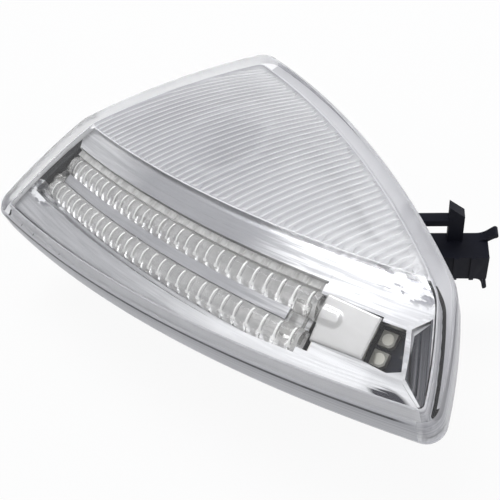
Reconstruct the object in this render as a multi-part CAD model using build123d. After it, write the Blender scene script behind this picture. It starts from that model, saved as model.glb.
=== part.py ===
"""Mirror indicator lamp: clear lens, light guides, puddle light. Millimetres, +Z out of the lens."""

import os
from math import asin, cos, degrees, hypot, radians, sin, tan

from build123d import *

os.makedirs("parts", exist_ok=True)

# Plan shape of the lens rim: four corners joined by bowed edges
left_corner = (-91.0, -46.4)
right_corner = (91.5, -33.9)
side_corner = (78.0, -3.4)
top_corner = (-31.5, 51.1)
edge_bows = (8.3, 1.2, 6.5, 10.7)
corner_radii = (6.0, 5.0, 16.0, 9.0)

# The band, the crease and both light guides are arcs about one upright axis
axis_x = -1.5
axis_y = 480.4
crease_r = 489.8
crease_z = 50.0
crease_blend = 12.0
band_slope = tan(radians(15.2))
inner_r = 415.0
outer_r = 545.0
half_sweep = 13.5

# Moves the finished parts so that the origin lies under the middle of the lens
centre_shift = (-0.18, -0.31)

# Lens
lens_height = 8.8
lens_skin = 2.8
lens_wall = 4.2
rim_round = 1.6
rib_pitch = 3.1
rib_count = 52
rib_radius = 115.0
rib_width = 2.2
rib_depth = 0.9
first_rib_centre = (12.0, -59.6)
rib_end_r = crease_r - 1.2

# Seal and rear housing
seal_thick = 0.8
upstand_top = 6.0
housing_wall = 2.0
rim_inset = 4.4
collar_radii = (9.0, 7.0, 11.6, 10.0)
shoulder_z = 27.0
rear_z = 8.0
rear_inset = 14.0
boss_points = ((-58.0, -24.0), (56.0, -18.0), (-4.0, 28.0))
boss_r = 5.0
insert_r = 3.1
insert_length = 8.0
insert_bore_r = 2.1
vent_point = (20.0, 10.0)
vent_r = 3.0

# Reflector bezel, as drops below the lens surface
bezel_drop = 4.6
bezel_thick = 1.4
bezel_inset = 5.2
trough_drop = 10.8
trough_inset = 8.4
trough_end = 5.62
pan_z = 36.0
pan_draft = 3.0

# Light guide
guide_radii = (502.8, 513.1)
bar_half = 3.4
crown_drop = 5.4
shoulder_drop = 7.6
foot_drop = 9.8
first_notch = (-7.62, -7.87)
notch_pitch = 3.8
notch_growth = 0.04
notch_depth = 1.9
notch_half = 1.1
bar_start = -8.1
bar_end = 5.55
web_hole = (-73.7, -21.2)
web_hole_r = 1.3

# Cover plate, board and LEDs, on a plane that lies along the band
plate_x = 57.6
plate_y = -23.0
plate_size = (15.6, 11.0)
plate_thick = 0.8
dimple_size = (8.0, 5.2)
dimple_rise = 0.6
board_drop = 9.6
board_thick = 1.6
board_ends = (-11.0, 14.8)
board_half = 7.2
led_side = 4.0
led_high = 1.7
side_led_points = ((8.0, 3.6), (7.9, -1.6))
guide_led_points = ((-9.9, 4.6), (-9.0, -6.0))
screw_points = ((-3.5, 5.4), (-3.5, -5.4))
screw_r = 0.95
post_r = 2.2

# Puddle light
puddle_x = -22.5
puddle_y = 15.0
bowl_top_r = 16.0
bowl_neck_r = 6.4
bowl_bottom_z = 19.0
bulb_r = 5.0
bulb_wall = 0.6
bulb_top_z = 34.0
holder_r = 8.0
gasket_thick = 1.7

# Connector: its mouth centre, the way it points and how far it dips
mouth_centre = (67.8, 24.9, 22.5)
mouth_bearing = 35.0
mouth_dip = 9.0
shroud_width = 9.0
shroud_height = 9.4
shroud_length = 33.0
shroud_wall = 1.3
socket_depth = 13.0
arm_heights = (11.1, 13.2)
tab_heights = (18.4, 14.7)
tab_span = (-11.7, -7.6)
pin_side = 0.8
pin_pitch = 2.2
pin_front = 5.5
pin_length = 30.5
wire_r = 0.7

lens_axis = Axis((axis_x, axis_y, 0), (0, 0, 1))
section_plane = Plane(origin=(axis_x, axis_y, 0), x_dir=(0, -1, 0), z_dir=(-1, 0, 0))


def lens_z(r):
    """Height of the lens's outer surface at a distance from the arc axis."""
    return crease_z - max(0.0, r - crease_r) * band_slope


def bearing_of(x, y):
    """Angle about the arc axis, positive to the right."""
    return degrees(asin((x - axis_x) / hypot(x - axis_x, axis_y - y)))


def radius_of(x, y):
    return hypot(x - axis_x, axis_y - y)


def around(face, start, end):
    """Turn a radial section about the arc axis, from one bearing to another."""
    return revolve(face.rotate(lens_axis, start), lens_axis, end - start)


def section(points):
    """Radial section from (radius, drop below the lens surface) points."""
    outline = Polyline([(r, lens_z(r) - drop) for r, drop in points], close=True)
    return section_plane * make_face(outline)


def layer(top_drop, bottom_drop):
    """Everything between two copies of the folded lens surface."""
    outer = lens_z(outer_r)
    outline = Polyline(
        (inner_r, crease_z - top_drop),
        (crease_r, crease_z - top_drop),
        (outer_r, outer - top_drop),
        (outer_r, outer - bottom_drop),
        (crease_r, crease_z - bottom_drop),
        (inner_r, crease_z - bottom_drop),
        close=True,
    )
    face = make_face(outline)
    fold = [v for v in face.vertices() if abs(v.X - crease_r) < 0.01]
    face = fillet(fold, crease_blend)
    return around(section_plane * face, -half_sweep, half_sweep)


def bowed(start, end, bow):
    """Arc between two points that bows out to the right of the way it runs."""
    length = hypot(end[0] - start[0], end[1] - start[1])
    across = ((end[1] - start[1]) / length, (start[0] - end[0]) / length)
    middle = ((start[0] + end[0]) / 2 + across[0] * bow, (start[1] + end[1]) / 2 + across[1] * bow)
    return ThreePointArc(start, middle, end)


def plan_face(inset, radii):
    """The rim's plan shape, set in by a distance, with its own corner radii."""
    corners = (left_corner, right_corner, side_corner, top_corner)
    edges = [bowed(corners[i], corners[(i + 1) % 4], edge_bows[i]) for i in range(4)]
    face = make_face(edges)
    if inset:
        face = offset(face, -inset, kind=Kind.INTERSECTION)
    for corner, radius in zip(corners, radii):
        nearest = face.vertices().sort_by_distance((corner[0], corner[1], 0))[0]
        face = fillet(nearest, radius)
    return face


def column(inset, bottom, top):
    """Upright prism of the plan shape, with corners that stay parallel to the rim's."""
    radii = [max(1.2, radius - inset) for radius in corner_radii]
    return Pos(0, 0, bottom) * extrude(plan_face(inset, radii), top - bottom)


def band_plane(x, y, drop):
    """Plane along the band at a plan point: x to the right, y toward the crease."""
    bearing = radians(bearing_of(x, y))
    lean = radians(15.2)
    normal = (sin(bearing) * sin(lean), -cos(bearing) * sin(lean), cos(lean))
    height = lens_z(radius_of(x, y)) - drop
    return Plane(origin=(x, y, height), x_dir=(cos(bearing), sin(bearing), 0), z_dir=normal)


def rib(index):
    """One arched ridge under the ribbed zone: a wedge turned about its own centre."""
    inner = crease_z - lens_skin
    outline = Polyline(
        (rib_radius - rib_width / 2, inner + 0.3),
        (rib_radius - rib_width / 2, inner),
        (rib_radius, inner - rib_depth),
        (rib_radius + rib_width / 2, inner),
        (rib_radius + rib_width / 2, inner + 0.3),
        close=True,
    )
    centre = (first_rib_centre[0] + index * rib_pitch, first_rib_centre[1])
    plane = Plane(origin=(centre[0], centre[1], 0), x_dir=(-1, 0, 0), z_dir=(0, 1, 0))
    spin = Axis((centre[0], centre[1], 0), (0, 0, -1))
    start = plane * make_face(outline)
    return revolve(start.rotate(spin, 24), spin, 56)


def outer_lens():
    shell = column(0, 15, 60) & layer(0, lens_height)
    outline = plan_face(0, corner_radii).faces()[0].outer_wire()
    shell = fillet([e for e in shell.edges() if is_top_rim(e, outline)], rim_round)
    shell -= column(lens_wall, 10, 60) & layer(lens_skin, 20)
    zone = Pos(0, 0, 40) * extrude(plan_face(lens_wall + 0.8, (1.2, 1.2, 11, 4)), 12)
    limit = Polyline((inner_r, 40), (rib_end_r, 40), (rib_end_r, 52), (inner_r, 52), close=True)
    zone &= around(section_plane * make_face(limit), -half_sweep, half_sweep)
    ribs = [solid for i in range(rib_count) for solid in (rib(i) & zone).solids()]
    return shell + ribs


def is_top_rim(edge, outline):
    """True for an edge where the lens surface meets the outer wall."""
    middle = edge @ 0.5
    on_top = abs(lens_z(radius_of(middle.X, middle.Y)) - middle.Z) < 0.75
    return on_top and outline.distance_to(Vector(middle.X, middle.Y, 0)) < 0.05


def lens_seal():
    ring = column(3.0, 10, 60) - column(lens_wall, 5, 65)
    return ring & layer(lens_height, lens_height + seal_thick)


def collar_face(inset):
    """The housing's plan shape at its collar; inner and outer corners stay parallel."""
    return plan_face(inset, [radius - inset + rim_inset for radius in collar_radii])


def housing_body(inset, bottom, lower_inset):
    """Tapered pot below the shoulder."""
    upper = Pos(0, 0, shoulder_z) * collar_face(inset)
    lower = Pos(0, 0, bottom) * plan_face(lower_inset, (5, 2.5, 3, 6))
    return loft([lower, upper], ruled=True)


def connector_plane():
    bearing = radians(mouth_bearing)
    dip = radians(mouth_dip)
    out = (cos(bearing) * cos(dip), sin(bearing) * cos(dip), -sin(dip))
    return Plane(origin=mouth_centre, x_dir=(-sin(bearing), cos(bearing), 0), z_dir=out)


def block(x0, x1, y0, y1, z0, z1):
    """Box between two corners."""
    return Pos((x0 + x1) / 2, (y0 + y1) / 2, (z0 + z1) / 2) * Box(x1 - x0, y1 - y0, z1 - z0)


def rear_housing():
    foot = lens_height + seal_thick
    collar = Pos(0, 0, shoulder_z) * extrude(collar_face(rim_inset), 30)
    ledge = column(3.0, 10, 60) & layer(foot, foot + 2)
    upstand = column(lens_wall + 0.2, 10, 60) & layer(upstand_top, foot + 2)
    outer = housing_body(rim_inset, rear_z, rear_inset) + (collar & layer(foot, 40)) + ledge + upstand
    inside_inset = rim_inset + housing_wall
    inner = housing_body(inside_inset, rear_z + housing_wall, rear_inset + housing_wall)
    inner += Pos(0, 0, shoulder_z) * extrude(collar_face(inside_inset), 30)
    inner += column(lens_wall + 1.4, shoulder_z + 4, 60) & layer(0, foot - 1.6)
    shell = outer - inner
    for x, y in screw_points:
        post = board_plane() * (Pos(x, y, -board_thick - 20) * Cylinder(post_r, 40))
        shell += post & outer
        shell -= board_plane() * (Pos(x, y, -3) * Cylinder(screw_r, 6))
    for x, y in boss_points:
        shell += Pos(x, y, 7.5) * Cylinder(boss_r, 15)
        shell -= Pos(x, y, insert_length / 2) * Cylinder(insert_r, insert_length)
        shell -= Pos(x, y, 6) * Cylinder(insert_bore_r + 0.5, 12)
    shell -= Pos(puddle_x, puddle_y, rear_z) * Cylinder(holder_r + 0.3, 12)
    port_w = shroud_width / 2 + 0.2
    port_h = shroud_height / 2 + 0.2
    shell -= connector_plane() * block(-port_w, port_w, -port_h, port_h, -40, 0)
    shell -= Pos(*vent_point, rear_z) * Cylinder(vent_r, 12)
    return shell


def trough(grow):
    """Room for the two guide bars with a raised land between them."""
    outline = [
        (494.2 - grow, bezel_drop - 2),
        (495.0 - grow, trough_drop + grow),
        (517.2 + grow, trough_drop + grow),
        (519.8 + grow, bezel_drop - 2),
    ]
    room = around(section(outline), -half_sweep, trough_end + degrees(grow / 505))
    return room & layer(bezel_drop - 1 + grow, 40) & column(trough_inset - grow, 10, 60)


def reflector_bezel():
    plate = column(bezel_inset, 10, 60) & layer(bezel_drop, upstand_top)
    floor = trough(bezel_thick)
    land = around(section([(507.2, 8.0), (508.8, 8.0), (509.2, 11.5), (506.8, 11.5)]), -7.7, 4.6)
    pan = puddle_pan(0)
    pan_shell = puddle_pan(bezel_thick) & layer(bezel_drop, 40)
    body = plate + floor + pan_shell - trough(0) - pan + land
    body -= band_plane(plate_x, plate_y, 0) * block(-10.5, 8.4, -5.0, 5.0, -16, 0)
    body -= band_plane(plate_x, plate_y, 0) * block(-11.5, -6.0, -10.2, 7.6, -16, 0)
    body -= window_opening()
    body -= left_opening()
    body -= Pos(puddle_x, puddle_y, pan_z) * Cylinder(bowl_top_r - 1, 10)
    return body + end_frame()


def puddle_pan(grow):
    """Shallow tray under the ribbed zone."""
    top = Pos(0, 0, crease_z) * plan_face(11 - grow, (3, 3, 4, 4))
    bottom = Pos(0, 0, pan_z - grow) * plan_face(11 + pan_draft - grow, (3, 3, 4, 4))
    tray = loft([bottom, top], ruled=True)
    far = crease_r - 6 + grow
    limit = Polyline((inner_r, 20), (far, 20), (far, 52), (inner_r, 52), close=True)
    return tray & around(section_plane * make_face(limit), -half_sweep, half_sweep)


def window_opening():
    corners = ((64.9, -17.2), (71.8, -16.2), (76.0, -25.2), (72.9, -27.1), (65.9, -27.5))
    return Pos(0, 0, 25) * extrude(make_face(Polyline(corners, close=True)), 25)


def left_opening():
    """Open corner of the trough at the left end, past the guide's web."""
    corners = ((-77.5, -10.0), (-83.1, -16.9), (-83.8, -23.8), (-86.7, -30.0), (-79.1, -28.9))
    hole = Pos(0, 0, 15) * extrude(make_face(Polyline(corners, close=True)), 45)
    return hole & column(trough_inset + 0.4, 10, 60)


def end_frame():
    """Raised ridges around the end panel, left, top and lower side."""
    corners = ((71.9, -16.0), (76.4, -10.0), (88.0, -32.6), (78.1, -27.6))
    outline = make_face(Polyline(corners, close=True))
    ridge = outline - offset(outline, -1.2, kind=Kind.INTERSECTION)
    ridge = Pos(0, 0, 20) * extrude(ridge, 30)
    return ridge & layer(bezel_drop - 1.3, bezel_drop + 0.8) & column(bezel_inset, 10, 60)


def bar(radius, first_bearing):
    """One guide bar: domed crown, flat foot, V notches that lie further apart to the right."""
    pen = section_plane
    height = lens_z(radius)
    tilt = band_slope * bar_half
    crown = ThreePointArc(
        (radius - bar_half, height - shoulder_drop + tilt),
        (radius, height - crown_drop),
        (radius + bar_half, height - shoulder_drop - tilt),
    )
    rest = Polyline(
        (radius + bar_half, height - shoulder_drop - tilt),
        (radius + bar_half, height - foot_drop - tilt),
        (radius - bar_half, height - foot_drop + tilt),
        (radius - bar_half, height - shoulder_drop + tilt),
    )
    solid = around(pen * make_face([crown, *rest.edges()]), bar_start, bar_end)
    cutter = notch(radius)
    cuts = []
    bearing = first_bearing
    while bearing < bar_end - 0.25:
        cuts.append(cutter.rotate(lens_axis, bearing))
        bearing += degrees((notch_pitch + notch_growth * len(cuts)) / radius)
    return solid - cuts


def notch(radius):
    """Wedge cutter under a bar at bearing zero."""
    outline = Polyline((-notch_half, -0.2), (notch_half, -0.2), (0, notch_depth), close=True)
    foot = (axis_x, axis_y - radius, lens_z(radius) - foot_drop)
    place = Plane(origin=foot, x_dir=(1, 0, 0), z_dir=(0, -1, -band_slope))
    return place * extrude(make_face(outline), bar_half - 0.5, both=True)


def light_guide():
    left_web = around(section([(498.5, 7.2), (516.6, 7.2), (516.6, 9.7), (498.5, 9.7)]), -8.7, -7.9)
    flange = section([(495.0, 6.2), (500.6, 6.2), (500.6, 7.2), (495.0, 7.2)])
    flange = around(flange, bar_start, bar_end - 0.6)
    right_web = around(section([(503.0, 7.6), (513.0, 7.6), (513.0, 9.6), (503.0, 9.6)]), 4.75, 5.3)
    bars = [bar(radius, bearing) for radius, bearing in zip(guide_radii, first_notch)]
    guide = bars[0] + bars[1] + left_web + right_web + flange
    foot = section([(506.9, 7.7), (509.1, 7.7), (509.1, trough_drop), (506.9, trough_drop)])
    guide += around(foot, 4.85, 5.08)
    guide += around(foot, -7.95, -7.7)
    guide -= Pos(*web_hole, 38) * Cylinder(web_hole_r, 20)
    return guide & column(trough_inset + 0.3, 10, 60)


def led_cover_plate():
    place = band_plane(plate_x, plate_y, bezel_drop)
    length, width = plate_size
    plate = block(-length / 2, length / 2, -width / 2, width / 2, 0, plate_thick)
    plate = fillet(plate.edges().filter_by(Axis.Z), 0.5)
    pill_length, pill_width = dimple_size
    centre = -length / 2 + pill_length - pill_width / 2
    pill = Pos(centre, 0.6) * Circle(pill_width / 2) + Pos(centre - 5, 0.6) * Rectangle(10, pill_width)
    pill &= Rectangle(length, width)
    raised = Pos(0, 0, plate_thick - 0.1) * extrude(pill, dimple_rise + 0.1, taper=25)
    return place * (plate + raised)


def led_board():
    place = board_plane()
    board = block(board_ends[0], board_ends[1], -board_half, board_half, -board_thick, 0)
    for x, y in screw_points:
        board -= Pos(x, y, 0) * Cylinder(1.2, 6)
    return place * board


def board_plane():
    return band_plane(plate_x + 2.5, plate_y, board_drop)


def side_leds():
    bodies = []
    for x, y in side_led_points:
        body = block(-led_side / 2, led_side / 2, -led_side / 2, led_side / 2, 0, led_high)
        corner = body.edges().filter_by(Axis.Z).sort_by(lambda e: e.center().X - e.center().Y)[-1]
        body = chamfer(corner, 0.9)
        body -= Pos(0, 0, led_high) * Cylinder(1.5, 0.6)
        bodies.append(board_plane() * (Pos(x, y, 0) * body))
    return bodies


def led_phosphors():
    face = Pos(0, 0, led_high - 0.15) * Cylinder(1.5, 0.3)
    return [board_plane() * (Pos(x, y, 0) * face) for x, y in side_led_points]


def guide_leds():
    body = block(-0.9, 0.9, -1.7, 1.7, 0, 2.8)
    return [board_plane() * (Pos(x, y, 0) * body) for x, y in guide_led_points]


def board_resistors():
    chip = block(-0.8, 0.8, -0.45, 0.45, 0, 0.5)
    spots = ((-6.0, 2.2), (-6.0, -2.2), (12.9, 1.0), (2.4, 4.5), (2.4, -4.5))
    return [board_plane() * (Pos(x, y, 0) * chip) for x, y in spots]


def driver_chip():
    return board_plane() * block(-1.6, 1.6, -1.4, 1.4, 0, 1.1)


def board_screws():
    screws = []
    for x, y in screw_points:
        head = Pos(0, 0, 0.6) * Cylinder(1.9, 1.2)
        head -= Pos(0, 0, 1.2) * Box(2.6, 0.5, 0.8)
        shank = Pos(0, 0, -2.5) * Cylinder(screw_r, 5)
        screws.append(board_plane() * (Pos(x, y, 0) * (head + shank)))
    return screws


def puddle_reflector():
    spot = Pos(puddle_x, puddle_y, 0)
    wall = 1.0
    rim_r = bowl_top_r + 1.5
    low = bowl_bottom_z
    outer = Spline((bowl_neck_r + wall, low), (bowl_top_r - 6, low + 5.5), (bowl_top_r - 1.2, pan_z))
    inner = Spline((bowl_neck_r, low), (bowl_top_r - 7, low + 6.2), (bowl_top_r - 2.2, pan_z + 0.9))
    rim = Polyline(outer @ 1, (rim_r, pan_z), (rim_r, pan_z + 0.9), inner @ 1)
    foot = Line(outer @ 0, inner @ 0)
    face = Plane.XZ * make_face([outer, *rim.edges(), inner, foot])
    return spot * revolve(face, Axis.Z, 360)


def puddle_bulb():
    spot = Pos(puddle_x, puddle_y, 0)
    dome_z = bulb_top_z - bulb_r
    from_base = (Align.CENTER, Align.CENTER, Align.MIN)
    envelope = Pos(0, 0, 16) * Cylinder(bulb_r, dome_z - 16, align=from_base)
    envelope += Pos(0, 0, dome_z) * Sphere(bulb_r)
    envelope -= Pos(0, 0, 20) * Cylinder(bulb_r - bulb_wall, dome_z - 20, align=from_base)
    envelope -= Pos(0, 0, dome_z) * Sphere(bulb_r - bulb_wall)
    wedge = block(-4.6, 4.6, -1.3, 1.3, 8.2, 16.5)
    return spot * (envelope + wedge)


def bulb_filament():
    spot = Pos(puddle_x, puddle_y, 0)
    coil = Pos(0, 0, 27) * (Rot(0, 90, 0) * Cylinder(0.35, 4.6))
    posts = [Pos(x, 0, 23.5) * Cylinder(0.2, 7) for x in (-2.1, 2.1)]
    return spot * (coil + posts)


def bulb_holder():
    spot = Pos(puddle_x, puddle_y, 0)
    inside_z = rear_z + housing_wall
    body = Pos(0, 0, 12) * Cylinder(holder_r, 12)
    body += Pos(0, 0, rear_z - gasket_thick - 0.9) * Cylinder(holder_r + 3, 1.8)
    body += block(-1.5, 1.5, -8, 8, 1.2, 5)
    for turn in range(3):
        lug = block(holder_r - 0.5, holder_r + 1.6, -1.5, 1.5, inside_z, inside_z + 1.6)
        body += Rot(0, 0, turn * 120 + 30) * lug
    body -= block(-4.8, 4.8, -2.2, 2.2, 8.2, 20)
    body -= Pos(0, 0, 17.5) * Cylinder(bulb_r + 0.4, 3)
    return spot * body


def bulb_contacts():
    spot = Pos(puddle_x, puddle_y, 0)
    left = block(-4.0, -1.6, 1.3, 2.2, 8.2, 15.5)
    right = block(1.6, 4.0, -2.2, -1.3, 8.2, 15.5)
    return [spot * left, spot * right]


def holder_gasket():
    ring = Cylinder(holder_r + 2.6, gasket_thick) - Cylinder(holder_r, 4)
    return Pos(puddle_x, puddle_y, rear_z - gasket_thick / 2) * ring


def side_profile(edges, x0, x1):
    """Solid from x0 to x1 with a profile of (distance out, height) points."""
    side = Plane(origin=(x1, 0, 0), x_dir=(0, 0, 1), z_dir=(-1, 0, 0))
    return extrude(side * make_face(edges), x1 - x0)


def flared_lip(x0, x1, reach, height):
    """Lip that curves up from the mouth's upper wall and ends in a round tip."""
    wall_top = shroud_height / 2
    start = (-4.0, wall_top)
    tip = (reach - 1.0, height)
    back = Spline(start, tip, tangents=((1, 0), (reach + 3, 1.3 * (height - wall_top))))
    nose = ThreePointArc(tip, (reach, height - 0.9), (reach - 0.9, height - 1.8))
    front = Polyline(nose @ 1, (-2.2, wall_top - shroud_wall), (-4.0, wall_top - shroud_wall), start)
    return side_profile([back, nose, *front.edges()], x0, x1)


def latch():
    """Springy arm along the far side with its finger tab."""
    wall_top = shroud_height / 2
    half_w = shroud_width / 2
    arm = block(1.4, half_w, *arm_heights, -24, -9)
    root = block(1.4, half_w, wall_top - 0.2, arm_heights[1], -24, -21.5)
    back, front = tab_span
    outline = Polyline(
        (back, wall_top - 0.2),
        (back, tab_heights[0]),
        (front, tab_heights[1]),
        (front, wall_top - 0.2),
        close=True,
    )
    return arm + root + side_profile(outline.edges(), 1.4, half_w)


def connector_shroud():
    half_w = shroud_width / 2
    half_h = shroud_height / 2
    room_w = half_w - shroud_wall
    room_h = half_h - shroud_wall
    body = block(-half_w, half_w, -half_h, half_h, -shroud_length, -0.8)
    body += flared_lip(1.5, half_w, 1.8, 7.6)
    body += flared_lip(-half_w, -1.5, -0.4, 9.3).mirror(Plane.XZ)
    body -= block(-room_w, room_w, -room_h, room_h, -socket_depth, 8)
    for z in (-5.0, -9.5):
        body += block(-half_w - 0.5, -half_w + 0.2, -half_h, half_h, z - 0.6, z + 0.6)
    body += latch()
    for y in (-pin_pitch, 0, pin_pitch):
        body -= Pos(0, y, -24) * Box(pin_side, pin_side, 40)
    return connector_plane() * body


def connector_pins():
    pin = Pos(0, 0, -pin_front - pin_length / 2) * Box(pin_side, pin_side, pin_length)
    return [connector_plane() * (Pos(0, y, 0) * pin) for y in (-pin_pitch, 0, pin_pitch)]


def wire(start, end, end_way):
    """Round wire that leaves a connector pin straight and meets its terminal straight."""
    back = connector_plane().z_dir * -1
    path = Spline(start, end, tangents=(back, end_way))
    return sweep(Plane(origin=start, z_dir=back) * Circle(wire_r), path)


def feed_wires():
    rear = -pin_front - pin_length
    pins = [(connector_plane() * Pos(0, y, rear)).position for y in (-pin_pitch, 0, pin_pitch)]
    pad = (board_plane() * Pos(-7.5, 2.0, -board_thick)).position
    side = puddle_x + holder_r
    return [
        wire(pins[2], pad, board_plane().z_dir),
        wire(pins[0], (side, puddle_y, 12.5), (-1, 0, 0)),
        wire(pins[1], (side, puddle_y, 16.0), (-1, 0, 0)),
    ]


def vent_plug():
    stem = Pos(0, 0, rear_z + 1) * Cylinder(vent_r, 4)
    cap = Pos(0, 0, rear_z - 0.8) * Cylinder(vent_r + 1.2, 1.6)
    return Pos(*vent_point) * (stem + cap)


def mounting_inserts():
    sleeve = Cylinder(insert_r, insert_length) - Cylinder(insert_bore_r, insert_length + 2)
    return [Pos(x, y, insert_length / 2) * sleeve for x, y in boss_points]


def save(shape, node):
    """Write one node; a list of solids becomes one compound."""
    if isinstance(shape, list):
        moved = Compound(children=[Pos(*centre_shift) * solid for solid in shape])
    else:
        moved = Pos(*centre_shift) * shape
    export_step(moved, f"parts/{node}.step")


for maker in (
    outer_lens,
    reflector_bezel,
    light_guide,
    led_cover_plate,
    led_board,
    side_leds,
    led_phosphors,
    rear_housing,
    connector_shroud,
    lens_seal,
    guide_leds,
    board_resistors,
    driver_chip,
    board_screws,
    puddle_reflector,
    puddle_bulb,
    bulb_filament,
    bulb_holder,
    bulb_contacts,
    holder_gasket,
    connector_pins,
    feed_wires,
    vent_plug,
    mounting_inserts,
):
    save(maker(), maker.__name__)
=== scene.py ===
import math
from functools import reduce

import bmesh
import bpy
import numpy as np
from mathutils import Matrix, Vector
from mathutils.geometry import delaunay_2d_cdt


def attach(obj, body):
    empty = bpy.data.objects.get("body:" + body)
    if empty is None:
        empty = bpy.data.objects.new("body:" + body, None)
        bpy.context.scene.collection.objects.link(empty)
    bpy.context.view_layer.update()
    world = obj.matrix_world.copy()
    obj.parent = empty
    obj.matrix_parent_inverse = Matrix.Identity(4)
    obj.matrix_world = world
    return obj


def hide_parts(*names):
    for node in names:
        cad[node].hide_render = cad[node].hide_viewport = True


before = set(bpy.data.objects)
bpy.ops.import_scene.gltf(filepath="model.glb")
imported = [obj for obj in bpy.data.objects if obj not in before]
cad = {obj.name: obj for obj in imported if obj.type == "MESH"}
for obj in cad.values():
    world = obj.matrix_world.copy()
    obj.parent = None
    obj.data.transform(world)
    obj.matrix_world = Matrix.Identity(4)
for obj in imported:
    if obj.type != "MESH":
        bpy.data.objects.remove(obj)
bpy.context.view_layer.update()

# Clear outer lens. One moulding of clear plastic: a flat face and a sloping band folded along
# an arc, an upright rim with frosted inner walls, and arched prism ribs under the flat face.
# It is glued to the housing along the foot of the rim.
MM = 0.001
# Plan of the rim, in millimetres: sharp corners, their radii, and how far each edge bows out.
CORNERS = [(-91.18, -46.71), (91.32, -34.21), (77.82, -3.71), (-31.68, 50.79)]
CORNER_RADII = [6.0, 5.0, 16.0, 9.0]
BOWS = [8.3, 1.2, 6.5, 10.7]
FRONT_SIDE, RIGHT_SIDE, REAR_SIDE = 0, 1, 3
# The upright axis that the crease, the band and the light guides turn about.
AXIS_X, AXIS_Y = -1.68, 480.09
CREASE_R, CREASE_Z, CREASE_BLEND = 489.8, 50.0, 12.0
BAND_LEAN = math.radians(15.2)
RIM_HEIGHT, RIM_WALL, RIM_ROUND, SKIN = 8.8, 4.2, 1.6, 2.8
RIB_PITCH, RIB_RADIUS, RIB_WIDTH, RIB_DEPTH, RIB_END = 3.1, 115.0, 2.2, 0.9, 0.3
RIB_X, RIB_Y, RIB_COUNT = 11.82, -59.91, 52
# How far the ribs and the crease sweep, in degrees.
RIB_SWEEP, CREASE_SWEEP = (22, 84), 13
# Distance between loose mesh points, how near the rim a line may come, and the least corner.
SPACING, LINE_CLEAR, LEAST_RADIUS = 2.2, 0.5, 1.2
# Where the ribs begin inside the rim, and how soon they are fully deep.
RIB_CLEAR, RIB_FADE = 0.4, 0.6


class Socket:
    """A node socket that Python's arithmetic can use: each operator adds a Math node."""

    def __init__(self, graph, out):
        self.graph, self.out = graph, out

    def math(self, operation, *values):
        values = dict(enumerate((self, *values)))
        return self.graph.add("ShaderNodeMath", {"operation": operation}, values)

    def __add__(self, other):
        return self.math("ADD", other)

    def __sub__(self, other):
        return self.math("SUBTRACT", other)

    def __mul__(self, other):
        return self.math("MULTIPLY", other)

    def __truediv__(self, other):
        return self.math("DIVIDE", other)

    def __rsub__(self, other):
        return self * -1 + other

    def __pow__(self, other):
        return self.math("POWER", other)

    def __gt__(self, other):
        return self.math("GREATER_THAN", other)

    def __lt__(self, other):
        return self.math("LESS_THAN", other)

    def __abs__(self):
        return self.math("ABSOLUTE")

    def limited(self, low, high):
        return self.math("MAXIMUM", low).math("MINIMUM", high)

    def ramp(self, start, end, top=1.0):
        """0 up to start, then rising evenly so that it would be 1 at end, and held at top."""
        return ((self - start) / (end - start)).limited(0, top)

    __radd__ = __add__
    __rmul__ = __mul__


class Graph:
    """Adds nodes to a tree: type, settings first, then the values or links of its sockets."""

    def __init__(self, tree):
        self.tree = tree

    def add(self, kind, settings=None, inputs=None, output=0):
        node = self.tree.nodes.new(kind)
        for name, value in (settings or {}).items():
            setattr(node, name, value)
        for name, value in (inputs or {}).items():
            if isinstance(value, Socket):
                self.tree.links.new(value.out, node.inputs[name])
            else:
                node.inputs[name].default_value = value
        return Socket(self, node.outputs[output])

    def axes(self, vector):
        """The three components of a vector, in millimetres."""
        node = self.tree.nodes.new("ShaderNodeSeparateXYZ")
        self.tree.links.new(vector.out, node.inputs[0])
        return [Socket(self, node.outputs[k]) / MM for k in range(3)]

    def place(self):
        """Object coordinates, in millimetres."""
        return self.axes(self.add("ShaderNodeTexCoord", output="Object"))

    def attribute(self, name):
        """A number that each point of the mesh carries."""
        return self.add("ShaderNodeAttribute", {"attribute_name": name}, output="Fac")

    def noise(self, scale, detail=3.0, stretch=(1, 1, 1)):
        """Noise from 0 to 1 on Object coordinates."""
        place = self.add("ShaderNodeTexCoord", output="Object")
        place = self.add("ShaderNodeVectorMath", {"operation": "MULTIPLY"}, {0: place, 1: stretch})
        sizes = {"Vector": place, "Scale": scale, "Detail": detail}
        return self.add("ShaderNodeTexNoise", None, sizes, "Fac")

    def stripes(self, along, scale, detail):
        """Noise from 0 to 1 that changes with one value only."""
        sizes = {"W": along, "Scale": scale, "Detail": detail}
        return self.add("ShaderNodeTexNoise", {"noise_dimensions": "1D"}, sizes, "Fac")

    def mix(self, factor, first, second):
        """Colour between two colours."""
        node = self.tree.nodes.new("ShaderNodeMix")
        node.data_type = "RGBA"
        for name, value in ((0, factor), (6, first), (7, second)):
            if isinstance(value, Socket):
                self.tree.links.new(value.out, node.inputs[name])
            else:
                node.inputs[name].default_value = value if name == 0 else (*value, 1)
        return Socket(self, node.outputs[2])

    def bump(self, height, strength, distance):
        sizes = {"Strength": strength, "Distance": distance, "Height": height}
        return self.add("ShaderNodeBump", None, sizes, "Normal")


def material(name):
    """An empty material and its graph."""
    made = bpy.data.materials.new(name)
    made.use_nodes = True
    made.node_tree.nodes.clear()
    return made, Graph(made.node_tree)


def surface(graph, shader, kind="Material"):
    """Close a material or world with its last shader."""
    end = graph.tree.nodes.new("ShaderNodeOutput" + kind)
    graph.tree.links.new(shader.out, end.inputs["Surface"])


def principled(graph, **inputs):
    """A Principled shader; an underscore in an input's name stands for a space."""
    inputs = {name.replace("_", " "): value for name, value in inputs.items()}
    return graph.add("ShaderNodeBsdfPrincipled", None, inputs)


# The part of the milky share that stops lamp light.
HAZE_SHADE = 0.6


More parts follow.
